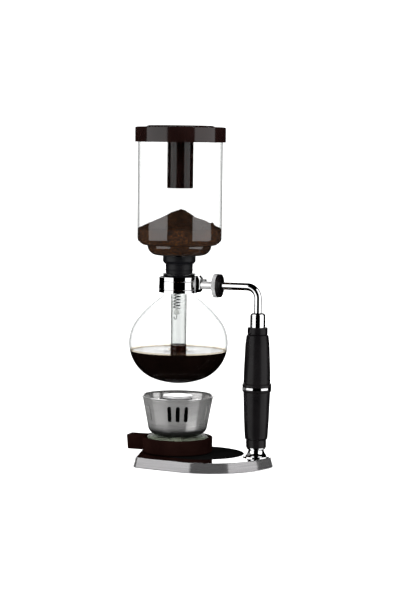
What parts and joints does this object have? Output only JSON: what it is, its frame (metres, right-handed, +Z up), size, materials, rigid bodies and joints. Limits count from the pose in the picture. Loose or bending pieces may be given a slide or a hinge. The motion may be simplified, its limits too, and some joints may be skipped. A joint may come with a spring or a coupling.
{
  "type": "siphon coffee maker",
  "caption": "Vacuum coffee brewer: glass bowl over a glass globe clamped to a grip post, with a spirit lamp and slotted windshield on a chrome base.",
  "frame": {"origin": "on the table, straight below the shared axis of the two glass bowls, in the plane of the base pad's underside", "axes": "+X from that axis to the grip post, +Y across the base, +Z up"},
  "size_m": [0.1516, 0.1246, 0.335],
  "materials": {
    "chrome": "bright chrome plating",
    "brushed_steel": "fine spun brushing",
    "plain_steel": "plain machined steel",
    "aluminium": "satin",
    "grip_black": "polished black phenolic",
    "lid_brown": "polished very dark brown plastic",
    "black_mat": "satin black",
    "rubber": "moulded matt rubber",
    "glass": "clear borosilicate",
    "coffee": "brewed black coffee, a liquid",
    "grounds": "wet ground coffee",
    "fuel": "clear spirit, a liquid",
    "cloth": "undyed cotton"
  },
  "bodies": {
    "stand": {"base_shell": "chrome", "base_inlay": "black_mat", "base_ballast": "plain_steel", "base_pad": "rubber", "base_washer": "plain_steel", "base_nut": "plain_steel", "tie_rod": "plain_steel", "post_foot": "chrome", "grip_lower": "grip_black", "grip_ring": "chrome", "grip_upper": "grip_black", "ferrule": "chrome", "arm_rod": "chrome", "retaining_clip": "plain_steel"},
    "knob": {"knob_rim": "brushed_steel", "knob_core": "grip_black", "knob_bush": "plain_steel"},
    "flask": {"flask_neck": "glass", "flask_shoulder": "glass", "flask_belly": "glass", "brewed_coffee": "coffee", "neck_liner": "rubber", "neck_band": "chrome", "neck_bracket": "chrome", "clamp_boss": "chrome", "set_screw": "plain_steel"},
    "upper": {"upper_bowl": "glass", "bowl_gasket": "rubber", "filter_bottom_plate": "brushed_steel", "filter_cloth": "cloth", "filter_top_plate": "brushed_steel", "filter_spindle": "plain_steel", "filter_nut": "plain_steel", "filter_spring": "plain_steel", "filter_bead": "plain_steel", "filter_hook": "plain_steel", "coffee_grounds": "grounds"},
    "lid": {"lid_cap": "lid_brown", "lid_socket": "lid_brown"},
    "burner": {"lamp_cradle": "lid_brown", "lamp_glass": "glass", "lamp_fuel": "fuel", "wick_collar": "brushed_steel", "wick": "cloth"},
    "windshield": {"windshield": "brushed_steel"},
    "snuffer": {"snuffer_top": "aluminium", "snuffer_skirt": "black_mat"}
  },
  "joints": [
    {"name": "knob_turn", "type": "hinge", "parent": "stand", "child": "knob", "pos_m": [0.0394, 0, 0.1774], "axis": [-1, 0, 0], "range_deg": [0, 1440.5]},
    {"name": "flask_unscrew", "type": "slide", "parent": "stand", "child": "flask", "axis": [-1, 0, 0], "range_m": [0, 0.005]},
    {"name": "bowl_lift", "type": "slide", "parent": "flask", "child": "upper", "axis": [0, 0, 1], "range_m": [0, 0.12]},
    {"name": "lid_lift", "type": "slide", "parent": "upper", "child": "lid", "axis": [0, 0, 1], "range_m": [0, 0.065]},
    {"name": "burner_slide", "type": "slide", "parent": "stand", "child": "burner", "axis": [-1, 0, 0], "range_m": [0, 0.12]},
    {"name": "windshield_lift", "type": "slide", "parent": "burner", "child": "windshield", "axis": [0, 0, 1], "range_m": [0, 0.009]},
    {"name": "snuffer_lift", "type": "slide", "parent": "burner", "child": "snuffer", "axis": [0, 0, 1], "range_m": [0, 0.01]}
  ],
  "couplings": [
    {"joint": "knob_turn", "follows": "flask_unscrew", "rad_per_m": 5026.5}
  ]
}
